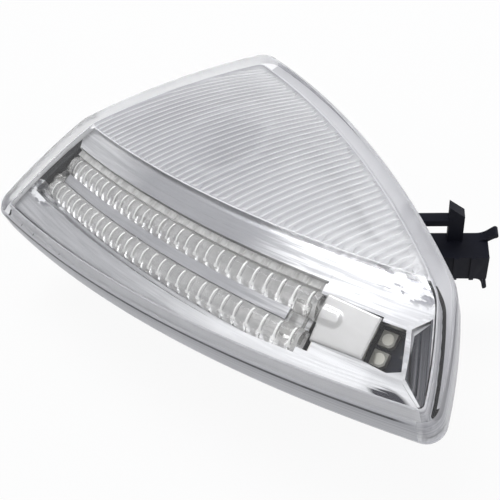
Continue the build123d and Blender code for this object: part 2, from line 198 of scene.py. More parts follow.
def clear_plastic(name, tint, roughness, haze=0.0, milk=None, ior=1.36):
    """Clear moulding that lamps shine through, with small surface ripples and a milky share.

    The milk is a colour, or a function that makes one from the graph.
    """
    made, graph = material(name)
    ripple = graph.bump(graph.noise(160.0), 0.05, 0.0002)
    glass = principled(graph, Base_Color=(*tint, 1), Roughness=roughness, IOR=ior,
                       Transmission_Weight=1.0, Normal=ripple)
    if haze:
        milky = principled(graph, Base_Color=milk(graph) if callable(milk) else (*milk, 1),
                           Roughness=0.5, Normal=graph.bump(graph.noise(900.0), 0.2, 0.0001))
        glass = graph.add("ShaderNodeMixShader", None, {0: haze, 1: glass, 2: milky})
    through = graph.add("ShaderNodeBsdfTransparent", None, {"Color": (*tint, 1)})
    shadow = graph.add("ShaderNodeLightPath", output="Is Shadow Ray")
    if haze:
        shadow = shadow * (1 - haze * HAZE_SHADE)
    surface(graph, graph.add("ShaderNodeMixShader", None, {0: shadow, 1: glass, 2: through}))
    return made


def oval(place, centre, reach):
    """1 at a plan point, falling to 0 at the edge of an oval."""
    east, north = (place[0] - centre[0]) / reach[0], (place[1] - centre[1]) / reach[1]
    return (1 - (east * east + north * north) ** 0.5).limited(0, 1)


# Painted shade over the lamp's bowl: its centre, its reach and how dark it is.
BOWL_SHADE, BOWL_SHADE_REACH, BOWL_SHADE_DEPTH = (-13.0, 8.0), (26.0, 20.0), 0.3


def rib_painted_light(graph):
    """Painted light on the ribs: paler crests and right side; painted shade over the lamp's bowl.
    """
    crest = graph.attribute("crest")
    place = graph.place()
    painted_light_to_right = (place[0] / 350).limited(-0.08, 0.17)
    painted_light_and_shade = painted_light_to_right - oval(place, BOWL_SHADE, BOWL_SHADE_REACH) * BOWL_SHADE_DEPTH
    pale = (crest * 0.62 + graph.noise(60.0) * 0.2 + painted_light_and_shade).limited(0, 1)
    return graph.mix(pale, (0.41, 0.41, 0.43), (0.76, 0.76, 0.77))


def wall_colour(graph):
    """Pale and dark lines run along the rim at set drops below its outer surface."""
    line = graph.stripes(graph.attribute("drop"), 1.7, 4.0)
    pale = line.ramp(0.3, 0.7) * 0.8 + graph.noise(30.0) * 0.2
    return graph.mix(pale, (0.33, 0.33, 0.355), (0.72, 0.72, 0.74))


def wall_colour_painted_lighter(graph):
    """The rear wall catches more light, so its colour is painted paler and its lines are faint."""
    return graph.mix(0.66, wall_colour(graph), (1.0, 1.0, 1.0))


# The painted seam line, a dark view of the glue seam through the rim: its drop below the outer
# surface, its half width, how far it reaches from the middle, and the share of that reach over
# which it fades.
SEAM_DROP, SEAM_HALF, SEAM_REACH, SEAM_FADE = 0.75, 0.15, 86, 0.06


def front_wall_painted_seam(graph):
    """The glue seam is real, but its thin dark line under the rounding is painted, broken here and
    there.
    """
    drop = graph.attribute("drop")
    line = (1 - abs(drop - SEAM_DROP) / SEAM_HALF * 0.5).limited(0, 1) * 2
    x, _, _ = graph.place()
    ends = (1 - abs(x) / SEAM_REACH).limited(0, SEAM_FADE) / SEAM_FADE
    line = line.limited(0, 1) * graph.noise(45.0, 3.0).ramp(0.36, 0.42) * ends
    return graph.mix(line, wall_colour(graph), (0.015, 0.015, 0.02))


SIDE_TINT, REAR_TINT = (0.97, 0.975, 0.985), (0.98, 0.985, 0.99)
CLEAR = clear_plastic("clear lens plastic", (0.985, 0.99, 1.0), 0.015)
FROSTED = clear_plastic("frosted rim wall", (0.95, 0.96, 0.98), 0.25, 0.85, wall_colour)
# A frosted strip along the fold; its pale milky colour is a painted highlight on the crease.
FOLD_LINE_HIGHLIGHT = clear_plastic("frosted fold line with painted highlight", (1.0, 1.0, 1.0), 0.2, 0.8, (0.78, 0.78, 0.79))
MILKY = clear_plastic("milky outer wall", SIDE_TINT, 0.12, 0.5, wall_colour)
# The rear wall and the rear and front feet are paler copies of the rim's plastic: painted light.
REAR_WALL_PAINTED_LIGHT = clear_plastic("rear wall with painted light", REAR_TINT, 0.12, 0.5, wall_colour_painted_lighter)
REAR_FOOT_PAINTED_LIGHT = clear_plastic("rear foot with painted light", REAR_TINT, 0.2, 0.85, (0.88, 0.88, 0.89))
FRONT_FOOT_PAINTED_LIGHT = clear_plastic("front foot with painted light", REAR_TINT, 0.25, 0.85, wall_colour_painted_lighter)
FRONT_WALL = clear_plastic("milky front wall", SIDE_TINT, 0.12, 0.86, front_wall_painted_seam)
RIBBED = clear_plastic("ribbed lens underside", SIDE_TINT, 0.08, 0.74, rib_painted_light)
LENS_PAINTS = [CLEAR, FROSTED, RIBBED, FOLD_LINE_HIGHLIGHT, MILKY, REAR_WALL_PAINTED_LIGHT, FRONT_WALL, REAR_FOOT_PAINTED_LIGHT,
               FRONT_FOOT_PAINTED_LIGHT]


def circle_through(start, end, bow):
    """Centre and radius of the arc that bows out by a distance between two points."""
    start, end = np.array(start), np.array(end)
    chord = end - start
    length = np.hypot(*chord)
    out = np.array([chord[1], -chord[0]]) / length
    radius = (length * length / 4 + bow * bow) / (2 * bow)
    return (start + end) / 2 + out * (bow - radius), radius


EDGES = [circle_through(CORNERS[i], CORNERS[(i + 1) % 4], BOWS[i]) for i in range(4)]


def arc_points(centre, radius, first, last, count):
    """Points from first up to, but not with, last."""
    a = math.atan2(first[1] - centre[1], first[0] - centre[0])
    b = math.atan2(last[1] - centre[1], last[0] - centre[0])
    turn = (b - a + math.pi) % (2 * math.pi) - math.pi
    angles = [a + turn * k / count for k in range(count)]
    return [centre + radius * np.array([math.cos(angle), math.sin(angle)]) for angle in angles]


def outline(inset, steps=64, corner_steps=12):
    """Plan points of the rim set in by a distance, anticlockwise, the same number for any inset."""
    ends = []
    for i in range(4):
        (a, ra), (b, rb) = EDGES[i - 1], EDGES[i]
        ra, rb, r = ra - inset, rb - inset, max(LEAST_RADIUS, CORNER_RADII[i] - inset)
        da, db, gap = ra - r, rb - r, b - a
        dist = np.hypot(*gap)
        along = (da * da - db * db + dist * dist) / (2 * dist)
        high = math.sqrt(max(0.0, da * da - along * along))
        side = np.array([-gap[1], gap[0]]) / dist
        options = [a + gap / dist * along + side * high * s for s in (1, -1)]
        centre = min(options, key=lambda c: np.hypot(*(c - np.array(CORNERS[i]))))
        first = a + (centre - a) / np.hypot(*(centre - a)) * ra
        last = b + (centre - b) / np.hypot(*(centre - b)) * rb
        ends.append((centre, r, first, last))
    points = []
    for i, (centre, r, first, last) in enumerate(ends):
        points += arc_points(centre, r, first, last, corner_steps)
        points += arc_points(EDGES[i][0], EDGES[i][1] - inset, last, ends[(i + 1) % 4][2], steps)
    return np.array(points)


def depth_inside(points, ring):
    """Distance of plan points from a closed ring, negative outside it."""
    best = np.full(len(points), 1e9)
    inside = np.zeros(len(points), bool)
    px, py = points[:, 0], points[:, 1]
    for (ax, ay), (bx, by) in zip(ring, np.roll(ring, -1, axis=0)):
        dx, dy = bx - ax, by - ay
        t = np.clip(((px - ax) * dx + (py - ay) * dy) / (dx * dx + dy * dy), 0, 1)
        best = np.minimum(best, np.hypot(px - ax - t * dx, py - ay - t * dy))
        crosses = (ay > py) != (by > py)
        inside ^= crosses & (px < ax + (py - ay) * dx / (dy if dy else 1e-12))
    return np.where(inside, best, -best)


def crease_lines(offsets, step=2.5):
    """Arcs along the crease that keep its rounding crisp."""
    reach = math.radians(CREASE_SWEEP)
    bearings = np.arange(-reach, reach, step / CREASE_R)
    return [np.stack([AXIS_X + (CREASE_R + offset) * np.sin(bearings),
                      AXIS_Y - (CREASE_R + offset) * np.cos(bearings)], 1) for offset in offsets]


def rib_lines():
    """The foot and crest lines of each arched rib, as far as the crease."""
    angles = np.radians(np.arange(*RIB_SWEEP, 1.0))
    return [np.stack([RIB_X + i * RIB_PITCH - r * np.cos(angles), RIB_Y + r * np.sin(angles)], 1)
            for i in range(RIB_COUNT)
            for r in (RIB_RADIUS - RIB_WIDTH / 2, RIB_RADIUS, RIB_RADIUS + RIB_WIDTH / 2)]


def fill_ring(ring, lines, beyond):
    """Triangles of a plan ring: lines become edges, loose points fill the part past a radius."""
    points, edges = [Vector(p) for p in ring], []
    for line in lines:
        last = None
        for p, inside in zip(line, depth_inside(line, ring) > LINE_CLEAR):
            if not inside:
                last = None
                continue
            points.append(Vector(p))
            if last is not None:
                edges.append((last, len(points) - 1))
            last = len(points) - 1
    low, high = ring.min(0), ring.max(0)
    grid = np.array([(x + (j % 2) * SPACING / 2, y)
                     for j, y in enumerate(np.arange(low[1], high[1], SPACING * 0.87))
                     for x in np.arange(low[0], high[0], SPACING)])
    clear = depth_inside(grid, ring) > SPACING * 0.6
    far = np.hypot(grid[:, 0] - AXIS_X, AXIS_Y - grid[:, 1]) > beyond
    points += [Vector(p) for p in grid[clear & far]]
    verts, _, faces, *_ = delaunay_2d_cdt(points, edges, [list(range(len(ring)))], 1, 1e-5)
    return np.array([v[:] for v in verts]), faces


def rim_profile():
    """The rim's cross-section from the outer surface round to the skin's underside.

    Its points are (inset, drop) pairs.
    """
    turns = [math.radians(degrees) for degrees in (90, 72, 54, 36, 18, 0)]
    rounding = [(RIM_ROUND * (1 - math.cos(a)), RIM_ROUND * (1 - math.sin(a))) for a in turns]
    foot = [(0.0, 4.0), (0.0, RIM_HEIGHT - 0.4), (0.15, RIM_HEIGHT - 0.1), (0.4, RIM_HEIGHT),
            (RIM_WALL - 0.3, RIM_HEIGHT), (RIM_WALL, RIM_HEIGHT - 0.3)]
    fillet = [(RIM_WALL, SKIN + 0.6), (RIM_WALL + 0.18, SKIN + 0.18), (RIM_WALL + 0.6, SKIN)]
    return rounding + foot + fillet


# The strips of the rim at which its outer wall, its foot and the last of its fillet begin.
WALL_LEVEL, FOOT_LEVEL, FILLET_LEVEL = 1, 8, 13


def rim_paint(side, level):
    """Finish of a strip of the rim, counted from the outer surface; some sides have painted light.
    """
    if level < WALL_LEVEL:
        return CLEAR
    if level < FOOT_LEVEL:
        return {FRONT_SIDE: FRONT_WALL, REAR_SIDE: REAR_WALL_PAINTED_LIGHT}.get(side, MILKY)
    if level < FILLET_LEVEL:
        return {FRONT_SIDE: FRONT_FOOT_PAINTED_LIGHT, REAR_SIDE: REAR_FOOT_PAINTED_LIGHT}.get(side, FROSTED)
    return FROSTED


def lens_blank():
    """The lens before it is folded: each point carries its drop below the outer surface."""
    profile = rim_profile()
    rings = [outline(inset) for inset, _ in profile]
    mesh = bmesh.new()
    drop = mesh.verts.layers.float.new("drop")
    ribbed = mesh.verts.layers.float.new("ribbed")
    kind = mesh.faces.layers.int.new("kind")

    def point(x, y, d, rib=0.0):
        made = mesh.verts.new((x * MM, y * MM, 0))
        made[drop], made[ribbed] = d, rib
        return made

    loops = [[point(x, y, d) for x, y in ring] for ring, (_, d) in zip(rings, profile)]
    count = len(rings[0])
    for level, (a, b) in enumerate(zip(loops, loops[1:])):
        for k in range(count):
            n = (k + 1) % count
            face = mesh.faces.new((a[k], b[k], b[n], a[n]))
            face[kind] = LENS_PAINTS.index(rim_paint(k // (count // 4), level))
    upper = crease_lines((-1.6, -0.8, 0.0, 0.8, 1.6))
    lower = crease_lines((-RIB_END, 0.0, 0.8, 1.6)) + rib_lines()
    for side, lines, beyond in ((0, upper, 0.0), (-1, lower, CREASE_R)):
        ring, verts = rings[side], list(loops[side])
        points, faces = fill_ring(ring, lines, beyond)
        near = np.clip((depth_inside(points, ring) - RIB_CLEAR) / RIB_FADE, 0, 1)
        for (x, y), rib in zip(points[count:], near[count:]):
            verts.append(point(x, y, profile[side][1], float(rib) if side else 0.0))
        for face in faces:
            middle = points[list(face)].mean(0)
            past = math.hypot(middle[0] - AXIS_X, AXIS_Y - middle[1]) - CREASE_R
            paint = CLEAR
            if side and past < 0:
                paint = FOLD_LINE_HIGHLIGHT if past > -RIB_END else RIBBED
            made = mesh.faces.new([verts[k] for k in (face[::-1] if side else face)])
            made[kind] = LENS_PAINTS.index(paint)
    return mesh


def new_piece(name, mesh):
    """An object in the scene from a bmesh."""
    data = bpy.data.meshes.new(name)
    mesh.normal_update()
    mesh.to_mesh(data)
    mesh.free()
    made = bpy.data.objects.new(name, data)
    bpy.context.scene.collection.objects.link(made)
    return made


def smooth_faces(data, degrees):
    """Smooth shading that stays crisp at edges sharper than an angle."""
    for face in data.polygons:
        face.use_smooth = True
    data.set_sharp_from_angle(angle=math.radians(degrees))


def geometry_tree(name, sizes):
    """An empty Geometry Nodes tree with a named input for each size."""
    tree = bpy.data.node_groups.new(name, "GeometryNodeTree")
    tree.interface.new_socket("Geometry", in_out="INPUT", socket_type="NodeSocketGeometry")
    for size in sizes:
        tree.interface.new_socket(size, in_out="INPUT", socket_type="NodeSocketFloat")
    tree.interface.new_socket("Geometry", in_out="OUTPUT", socket_type="NodeSocketGeometry")
    graph = Graph(tree)
    start = tree.nodes.new("NodeGroupInput")
    return graph, {s.name: Socket(graph, s) for s in start.outputs if s.name}


def mesh_value(graph, name, kind="FLOAT"):
    """A number that each point or face of a tree's mesh carries."""
    return graph.add("GeometryNodeInputNamedAttribute", {"data_type": kind}, {"Name": name})


def finish_tree(graph, shape, paints):
    """End a tree: real geometry, then each material on the faces of its kind."""
    shape = graph.add("GeometryNodeRealizeInstances", None, {0: shape})
    for number, paint in enumerate(paints):
        chosen = graph.add("FunctionNodeCompare", {"data_type": "INT", "operation": "EQUAL"},
                           {2: mesh_value(graph, "kind", "INT"), 3: number})
        shape = graph.add("GeometryNodeSetMaterial", None,
                          {0: shape, "Selection": chosen, "Material": paint})
    end = graph.tree.nodes.new("NodeGroupOutput")
    graph.tree.links.new(shape.out, end.inputs[0])


def run_tree(piece, graph, sizes, smooth=28):
    """Put a tree on a piece, set its inputs, and keep the result as a plain mesh."""
    modifier = piece.modifiers.new("shape", "NODES")
    modifier.node_group = graph.tree
    for item in graph.tree.interface.items_tree:
        if item.in_out == "INPUT" and item.name in sizes:
            modifier[item.identifier] = float(sizes[item.name])
    bpy.context.view_layer.update()
    shaped = piece.evaluated_get(bpy.context.evaluated_depsgraph_get())
    plain = bpy.data.meshes.new_from_object(shaped)
    piece.modifiers.clear()
    piece.data = plain
    smooth_faces(plain, smooth)
    return piece


LENS_SIZES = {
    "Axis X": AXIS_X, "Axis Y": AXIS_Y, "Crease radius": CREASE_R, "Crease height": CREASE_Z,
    "Crease blend": CREASE_BLEND, "Lean": BAND_LEAN, "Rib X": RIB_X, "Rib Y": RIB_Y,
    "Rib pitch": RIB_PITCH, "Rib radius": RIB_RADIUS, "Rib width": RIB_WIDTH,
    "Rib depth": RIB_DEPTH, "Rib end": RIB_END}


def fold_tree():
    """Folds the blank along the crease and presses the ribs under its flat face."""
    graph, size = geometry_tree("folded lens", LENS_SIZES)
    x, y, _ = graph.axes(graph.add("GeometryNodeInputPosition"))
    drop, ribbed = mesh_value(graph, "drop"), mesh_value(graph, "ribbed")
    lean, blend, crease = size["Lean"], size["Crease blend"], size["Crease radius"]
    r = ((x - size["Axis X"]) ** 2 + (size["Axis Y"] - y) ** 2) ** 0.5
    start = crease - blend * (lean / 2).math("TANGENT")
    width = blend * lean.math("SINE")
    run = (r - start).limited(0, width)
    fold = blend - (blend ** 2 - run * run) ** 0.5
    slope = (r - start - width).math("MAXIMUM", 0) * lean.math("TANGENT")
    north = y - size["Rib Y"]
    lift = (size["Rib radius"] ** 2 - north * north).math("MAXIMUM", 1) ** 0.5
    centre = ((x + lift - size["Rib X"]) / size["Rib pitch"]).math("ROUND")
    east = x - size["Rib X"] - centre * size["Rib pitch"]
    across = abs((east * east + north * north) ** 0.5 - size["Rib radius"])
    flat_side = r < crease - size["Rib end"] - 0.05
    crest = (1 - across / (size["Rib width"] / 2)).limited(0, 1) * ribbed * flat_side
    height = size["Crease height"] - fold - slope - drop - size["Rib depth"] * crest
    place = graph.add("ShaderNodeCombineXYZ", None, {0: x * MM, 1: y * MM, 2: height * MM})
    shape = graph.add("GeometryNodeStoreNamedAttribute", {"data_type": "FLOAT", "domain": "POINT"},
                      {0: size["Geometry"], "Name": "crest", "Value": crest})
    shape = graph.add("GeometryNodeSetPosition", None, {0: shape, "Position": place})
    finish_tree(graph, shape, LENS_PAINTS)
    return graph


lens = run_tree(new_piece("clear_lens", lens_blank()), fold_tree(), LENS_SIZES)
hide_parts("outer_lens")
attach(lens, "root")

# Silver bezel. A thin plastic moulding with a bright metal finish, seated on the housing's
# upstand. Its trough holds the light guides, its tray frames the puddle lamp, and fine steps run
# along its edge.
# Faces of the trough, as radii about the band's axis.
UPPER_FACE_R, LAND_START_R, LAND_END_R, LOW_FACE_R = 499.0, 506.2, 509.7, 514
# Where the moulding and its edge steps begin, as distances from the nearest side.
BEZEL_INSET, STEP_PITCH, STEP_FIRST, STEP_LAST = 4.85, 0.95, 5.2, 9.0
# Plan places of painted light and shade and of the crumpled relief: ovals as (centre, reach),
# then polygons.
SHADE_PAINT_OVAL = ((-6.0, -10.0), (45.0, 30.0))
CRUMPLES = [((-80.5, -32.0), (8.0, 4.0)), ((-72.0, -34.0), (8.0, 3.0)), ((66.0, -5.5), (14.0, 6.0))]
DARK_PATCH = ((76.3, -31.9), (6.5, 2.2))
CORNER_PAINTED_SHADE = [(-84.0, -29.5), (-77.2, -28.5), (-71.6, -13.0), (-73.6, -9.5)]
PANEL_REFLECTION_AREA = [(74.0, -16.9), (77.9, -26.9), (86.6, -31.8), (76.3, -11.9)]
# How dark the painted shade of the right gap is, and the blur at a polygon's edge.
RIGHT_GAP_SHADE_SHARE, EDGE_BLUR = 0.55, 0.15
# Tones of the finish, most of them painted light and shade.
SATIN, PALE_SATIN, PAINTED_SHADE_TONE = (0.42, 0.42, 0.435), (0.68, 0.68, 0.69), (0.31, 0.31, 0.33)
PAINTED_HIGHLIGHT, LOW_PAINTED_HIGHLIGHT, END_PAINTED_SHADE = (0.92, 0.92, 0.925), (0.92, 0.92, 0.93), (0.5, 0.5, 0.515)
FOLD_GLINT, FOLD_SHADE, DARK_PATCH_TONE = (0.96, 0.96, 0.97), (0.20, 0.20, 0.22), (0.05, 0.05, 0.06)
GAP_PAINTED_SHADE, PANEL_REFLECTION_DARK, PANEL_REFLECTION_PALE = (0.02, 0.02, 0.024), (0.02, 0.02, 0.026), (0.27, 0.27, 0.29)


def radius_about(graph, centre):
    """Plan distance in millimetres from an upright axis."""
    x, y, _ = graph.place()
    east, north = x - float(centre[0]), y - float(centre[1])
    return (east * east + north * north) ** 0.5


def depth_from(graph, side):
    """Distance in millimetres inward from one side of the plan shape."""
    centre, radius = EDGES[side]
    return float(radius) - radius_about(graph, centre)


def highest(values):
    """The highest of some sockets' values."""
    return reduce(lambda a, b: a.math("MAXIMUM", b), values)


def lowest(values):
    """The lowest of some sockets' values."""
    return reduce(lambda a, b: a.math("MINIMUM", b), values)


def inside_corners(graph, corners):
    """1 inside a convex plan polygon given anticlockwise, 0 outside."""
    x, y, _ = graph.place()
    reaches = []
    for (ax, ay), (bx, by) in zip(corners, corners[1:] + corners[:1]):
        length = math.hypot(bx - ax, by - ay)
        reach = (y - ay) * ((bx - ax) / length) - (x - ax) * ((by - ay) / length)
        reaches.append((reach / EDGE_BLUR + 0.5).limited(0, 1))
    return lowest(reaches)


def drawn_streaks(graph, across, along, detail, distortion):
    """Noise from 0 to 1 drawn out along the band."""
    field = graph.add("ShaderNodeCombineXYZ", None, {0: across, 1: along})
    sizes = {"Vector": field, "Scale": 1.0, "Detail": detail, "Distortion": distortion}
    return graph.add("ShaderNodeTexNoise", {"noise_dimensions": "2D"}, sizes, "Fac")


# Satin silver whose tones carry painted light and shade.
SILVER, graph = material("satin silver with painted light and shade")
place = graph.place()
x, y, _ = place
inset = lowest(depth_from(graph, side) for side in range(4))
radius = radius_about(graph, (AXIS_X, AXIS_Y))
coarse = drawn_streaks(graph, radius * 0.55, x * 0.03, 5.0, 0.5)
fine = drawn_streaks(graph, radius * 1.7, x * 0.06, 4.0, 0.3)
streaks = coarse * 0.6 + fine * 0.4
cloud = graph.noise(22.0, 2.0)
# The satin ground, with painted shade over the tray, on the land and at the lower left, painted
# highlights toward the right and on the lower face, and painted shade at the far right end.
upper = (UPPER_FACE_R - radius).limited(0, 1)
land = (radius > LAND_START_R) * (radius < LAND_END_R)
low = (radius - LOW_FACE_R).limited(0, 1)
painted_shade = (oval(place, *SHADE_PAINT_OVAL) * upper * 1.6).limited(0, 0.75).math("MAXIMUM", land * 0.6)
painted_highlight = x.ramp(18, 40) * (0.5 + upper * 0.35) * (1 - x.ramp(58, 74, 0.75))
tone = graph.mix(streaks.ramp(0.36, 0.64) * 0.8 + cloud * 0.2, SATIN, PALE_SATIN)
tone = graph.mix(painted_shade, tone, PAINTED_SHADE_TONE)
tone = graph.mix(painted_highlight * streaks.ramp(0.45, 0.54), tone, PAINTED_HIGHLIGHT)
tone = graph.mix(low * x.ramp(5, 35, 0.7), tone, LOW_PAINTED_HIGHLIGHT)
tone = graph.mix(low * (x * -1).ramp(5, 45, 0.4), tone, PAINTED_SHADE_TONE)
tone = graph.mix(x.ramp(68, 76, 0.3), tone, END_PAINTED_SHADE)
# Painted glints and painted shade on the folds where the plating is crumpled, and a dark streaked
# patch by the end frame.
crumple = highest(oval(place, *spot) for spot in CRUMPLES)
folds = graph.noise(300.0, 3.0, (0.7, 1.6, 1))
tone = graph.mix((crumple * 3 * (folds > 0.5)).limited(0, 1), tone, FOLD_GLINT)
tone = graph.mix((crumple * 3 * (folds < 0.42)).limited(0, 0.8), tone, FOLD_SHADE)
dark_patch = (oval(place, *DARK_PATCH) * 3 * streaks.ramp(0.4, 0.5)).limited(0, 1)
tone = graph.mix(dark_patch, tone, DARK_PATCH_TONE)
# Painted shade in the gaps beside the moulding and in the open corner at the left, and the end
# frame's painted dark reflection with its streaks.
front_gap_shade = depth_from(graph, FRONT_SIDE) < BEZEL_INSET + streaks * 0.3
right_gap_shade = (depth_from(graph, RIGHT_SIDE) < BEZEL_INSET) * RIGHT_GAP_SHADE_SHARE
painted_gap_shade = highest([inside_corners(graph, CORNER_PAINTED_SHADE), front_gap_shade, right_gap_shade])
tone = graph.mix(painted_gap_shade, tone, GAP_PAINTED_SHADE)
# The end frame's dark tone and its streaks are a painted reflection.
panel_streaks = graph.stripes(x * 0.45 + y * 0.23, 3.0, 3.0)
panel_reflection = graph.mix(x.ramp(73, 87) * panel_streaks.ramp(0.3, 0.7), PANEL_REFLECTION_DARK, PANEL_REFLECTION_PALE)
steps = (inset * (math.tau / STEP_PITCH)).math("SINE")
steps = steps * (inset < STEP_LAST) * (inset > STEP_FIRST)
relief = steps * 0.2 + crumple * folds * 6 + graph.noise(1400.0) * 0.05
surface(graph, principled(
    graph, Base_Color=graph.mix(inside_corners(graph, PANEL_REFLECTION_AREA), tone, panel_reflection), Metallic=1.0,
    Roughness=cloud * 0.1 + 0.24, Normal=graph.bump(relief, 0.2, 0.00015)))
cad["reflector_bezel"].data.materials[0] = SILVER

# Light guides. One clear moulding of two arched bars with a web at each end and a fuzzy strip
# along the upper one. A notch under each cell is marked by a painted highlight line across the
# crown, and the cells widen to the right. A silvered ledge and land strip of the bezel lie beside
# the bars.
GUIDE_RADII, BAR_HALF, CROWN_STEPS = (502.8, 513.1), 3.4, 12
CROWN_DROP, SHOULDER_DROP, FOOT_DROP, FOOT_CHAMFER = 5.4, 7.6, 9.8, 0.5
NOTCH_DEPTH, NOTCH_HALF, NOTCH_SHOULDER = 1.9, 1.1, 0.7
BEAD_HALF, BEAD_RISE, BEAD_REACH = 0.27, 0.16, 2.6
# Strips of a cell that carry the painted highlight, counted across its crown, and the wider
# painted glint dash on its lower shoulder.
LINE_FIRST, LINE_LAST, DASH, DASH_HALF = 2, 9, 10, 0.6
BAR_START, BAR_END = math.radians(-8.1), math.radians(5.55)
FIRST_NOTCHES = (math.radians(-7.62), math.radians(-7.87))
NOTCH_PITCH, NOTCH_GROWTH, MEAN_PITCH = 3.8, 0.04, 4.4
# The last notch stays clear of the bars' end.
END_CLEAR = math.radians(0.25)
# Curved blocks: radii, drops, bearings in degrees, cells and how lumpy their top is.
LEFT_WEB = ((498.5, 516.6), (7.3, 9.7), (-8.65, -8.12), 14, 0.2)
RIGHT_WEB = ((503.0, 513.0), (7.6, 9.6), (4.75, 5.3), 8, 0.1)
FUZZY_STRIP = ((497.5, 499.6), (5.9, 7.2), (-8.1, 5.5), 320, 0.16)
LEDGE = ((494.4, 497.4), (4.62, 7.2), (-8.1, 5.61), 60, 0.0)
LAND_STRIP = ((506.35, 509.5), (7.4, 7.9), (-7.9, 4.7), 60, 0.0)
TONGUE = ((498.2, 501.0), (4.62, 5.3), (5.56, 6.15), 4, 0.0)
# Lumps of plastic at the left web, clear of its hole: number, radii in mm, places.
LUMPS, LUMP_SIZES, LUMP_RADII = 34, (0.5, 1.3), (498.5, 515.5)
LUMP_BEARINGS, LUMP_DROPS, LUMP_FLATNESS = (-8.6, -8.0), (6.6, 7.6), 0.6
WEB_HOLE_R, WEB_HOLE_CLEAR, LUMP_SHIFT = 506.8, 2.2, 4.0


def lens_level(r):
    """Height of the lens's outer surface at a radius on the band."""
    return CREASE_Z - max(0.0, r - CREASE_R) * math.tan(BAND_LEAN)


def arc_place(r, drop, bearing):
    """A place on the band: radius, drop below the lens's surface, and bearing in radians."""
    return Vector(((AXIS_X + r * math.sin(bearing)) * MM, (AXIS_Y - r * math.cos(bearing)) * MM,
                   (lens_level(r) - drop) * MM))


def bar_profile(bead, notch):
    """Cross-section of a bar as (distance across, drop) points: crown, sides and notched foot."""
    sag = SHOULDER_DROP - CROWN_DROP
    curve = (BAR_HALF ** 2 + sag ** 2) / (2 * sag)
    crown = []
    for k in range(CROWN_STEPS + 1):
        t = BAR_HALF * (2 * k / CROWN_STEPS - 1)
        rise = bead if abs(t) < BEAD_REACH else 0.0
        crown.append((t, CROWN_DROP + curve - math.sqrt(curve ** 2 - t ** 2) - rise))
    inner = BAR_HALF - FOOT_CHAMFER
    return crown + [(BAR_HALF, FOOT_DROP), (inner, FOOT_DROP - notch), (-inner, FOOT_DROP - notch),
                    (-BAR_HALF, FOOT_DROP)]


def straight_cell():
    """One cell before it is bent: x counts cells, y runs across the bar and z is the drop."""
    mesh = bmesh.new()
    kind = mesh.faces.layers.int.new("kind")
    half = [BEAD_HALF / 2, BEAD_HALF, NOTCH_SHOULDER, NOTCH_HALF, MEAN_PITCH / 2]
    places = [-s for s in half[::-1]] + [0.0] + half
    rings = []
    for s in places:
        bead = BEAD_RISE if abs(s) < BEAD_HALF * 0.75 else 0.0
        profile = bar_profile(bead, NOTCH_DEPTH * max(0.0, 1 - abs(s) / NOTCH_HALF))
        rings.append([mesh.verts.new((s / MEAN_PITCH * MM, t * MM, drop * MM))
                      for t, drop in profile])
    for a, b, first, last in zip(rings, rings[1:], places, places[1:]):
        middle = abs(first + last) / 2
        for k in range(len(a)):
            n = (k + 1) % len(a)
            face = mesh.faces.new((a[k], b[k], b[n], a[n]))
            # Faces on the notch line and on the dash take the painted highlight.
            line = middle < BEAD_HALF and LINE_FIRST <= k <= LINE_LAST
            face[kind] = int(line or middle < DASH_HALF and k == DASH)
    return mesh


def jelly_colour(graph):
    """Cloudy warm grey of scattered light inside the moulding."""
    cloud = graph.noise(520.0, 3.0).ramp(0.35, 0.65)
    return graph.mix(cloud, (0.44, 0.435, 0.42), (0.68, 0.675, 0.655))


GUIDE_TINT = (0.99, 0.985, 0.975)
GUIDE_CLEAR = clear_plastic("light guide plastic", GUIDE_TINT, 0.06, 0.16, jelly_colour)
GUIDE_PAINTED_HIGHLIGHT = clear_plastic("light guide notch painted highlight", (1.0, 1.0, 0.99), 0.2, 0.72,
                            (0.93, 0.925, 0.905))
GUIDE_HAZY = clear_plastic("light guide flange", GUIDE_TINT, 0.3, 0.6, jelly_colour)


def bent_tree(sizes):
    """Repeats the cell along a straight bar, then bends it round the upright axis of the band."""
    graph, size = geometry_tree("bent bar", sizes)
    along = graph.add("ShaderNodeCombineXYZ", None, {0: graph.add("GeometryNodeInputIndex") * MM})
    points = graph.add("GeometryNodePoints", None, {"Count": size["Count"], "Position": along})
    cells = graph.add("GeometryNodeInstanceOnPoints", None,
                      {"Points": points, "Instance": size["Geometry"]})
    cells = graph.add("GeometryNodeRealizeInstances", None, {0: cells})
    cells = graph.add("GeometryNodeMergeByDistance", None, {"Geometry": cells, "Distance": 1e-5})
    u, across, drop = graph.axes(graph.add("GeometryNodeInputPosition"))
    r = size["Radius"] + across
    run = size["Pitch"] * u + size["Growth"] * u * (u + 1) / 2
    head, tail = u < -0.49, u > size["Count"] - 0.51
    bearing = (size["First"] + run / size["Radius"]) * (1 - head) * (1 - tail)
    bearing = bearing + head * size["Start"] + tail * size["End"]
    slope = (r - size["Crease radius"]) * size["Lean"].math("TANGENT")
    place = graph.add("ShaderNodeCombineXYZ", None, {
        0: (size["Axis X"] + r * bearing.math("SINE")) * MM,
        1: (size["Axis Y"] - r * bearing.math("COSINE")) * MM,
        2: (size["Crease height"] - slope - drop) * MM})
    cells = graph.add("GeometryNodeSetPosition", None, {0: cells, "Position": place})
    finish_tree(graph, cells, [GUIDE_CLEAR, GUIDE_PAINTED_HIGHLIGHT])
    return graph


